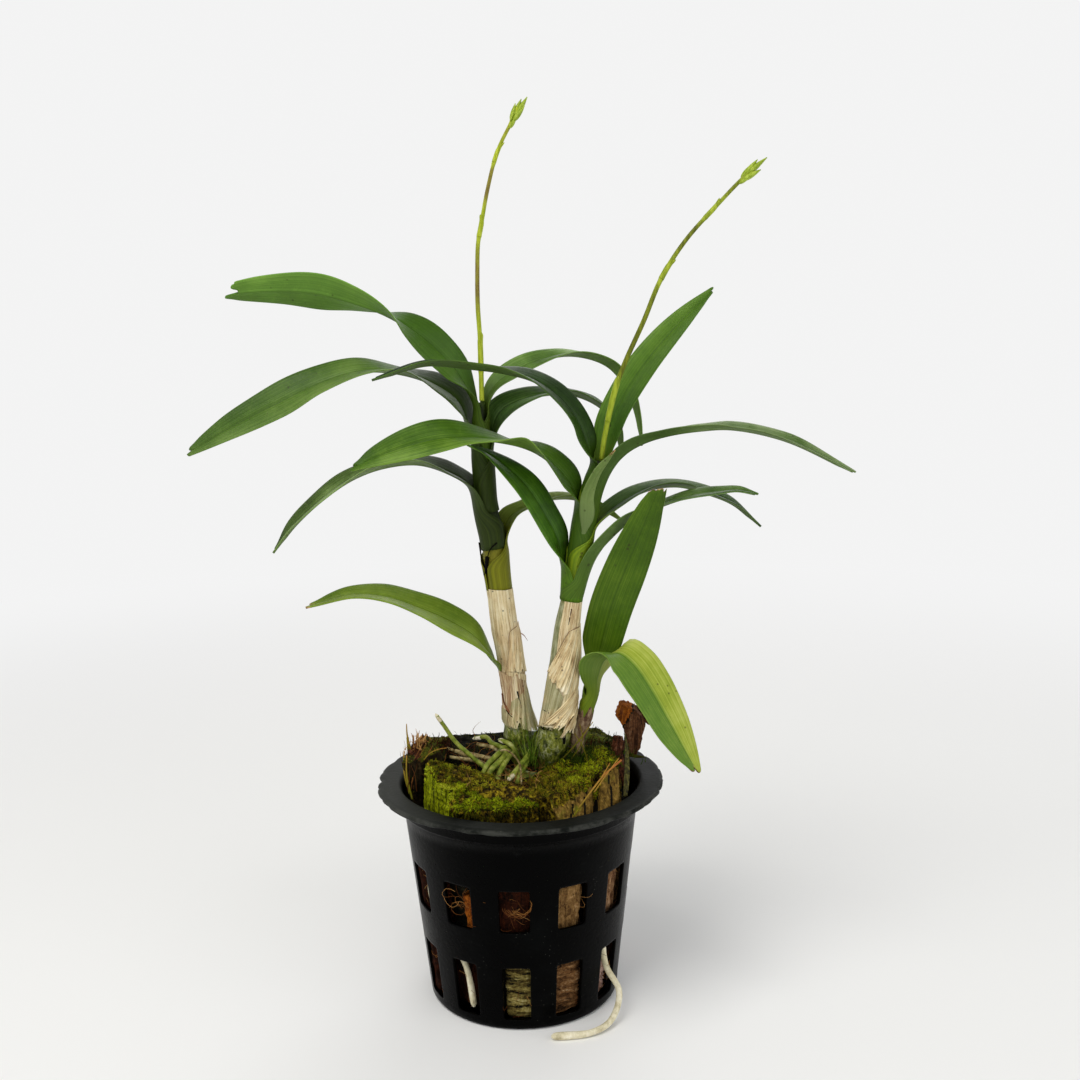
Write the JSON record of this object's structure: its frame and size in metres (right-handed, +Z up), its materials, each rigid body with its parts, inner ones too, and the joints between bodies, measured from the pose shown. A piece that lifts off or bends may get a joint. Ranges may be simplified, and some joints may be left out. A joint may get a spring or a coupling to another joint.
{
  "type": "dendrobium orchid in a net pot",
  "caption": "Young dendrobium orchid with arching strap leaves, papery canes and budding flower spikes, growing in husk and moss in a slotted black plastic net pot.",
  "frame": {"origin": "centre of the pot's flat base, on the surface it stands on", "axes": "+Z up along the pot's axis, -Y towards the front, +X to the viewer's right; the leaves fan out along X"},
  "size_m": [0.2464, 0.11, 0.336],
  "materials": {
    "pot_plastic": "glossy, rim worn",
    "leaf": "satin",
    "young_leaf": "satin",
    "cane_sheath": "dry papery sheaths",
    "flower_spike": "satin",
    "root_skin": "matt",
    "bark": "rough",
    "rust_husk": "rough, fibrous",
    "straw_husk": "rough, fibrous",
    "charcoal": "rough",
    "moss": "fuzzy"
  },
  "bodies": {
    "root": {"net_pot": "pot_plastic", "cane_left": "cane_sheath", "cane_right": "cane_sheath", "young_shoot": "cane_sheath", "rhizome_with_surface_roots": "root_skin", "root_to_floor": "root_skin", "root_in_pot": "root_skin", "leaf_left_1": "leaf", "leaf_left_2": "leaf", "leaf_left_3": "leaf", "leaf_left_4": "leaf", "leaf_left_5": "leaf", "leaf_left_6": "leaf", "leaf_left_7": "leaf", "leaf_right_1": "leaf", "leaf_right_2": "leaf", "leaf_right_3": "leaf", "leaf_right_4": "leaf", "leaf_right_5": "leaf", "leaf_right_6": "leaf", "leaf_right_7": "leaf", "leaf_right_8": "leaf", "leaf_shoot_1": "young_leaf", "leaf_shoot_2": "young_leaf", "flower_spike_left": "flower_spike", "flower_spike_right": "flower_spike", "husk_upright": "rust_husk", "moss_slab_left": "moss", "moss_slab_right": "moss", "husk_left": "rust_husk", "charcoal_back": "charcoal", "husk_back_right": "bark", "husk_centre": "bark", "bark_middle_1": "bark", "bark_middle_2": "rust_husk", "bark_middle_3": "rust_husk", "bark_middle_4": "bark", "bark_middle_5": "bark", "bark_lower_1": "charcoal", "bark_lower_2": "straw_husk", "bark_lower_3": "bark", "bark_lower_4": "bark", "bark_lower_5": "bark"}
  },
  "joints": []
}
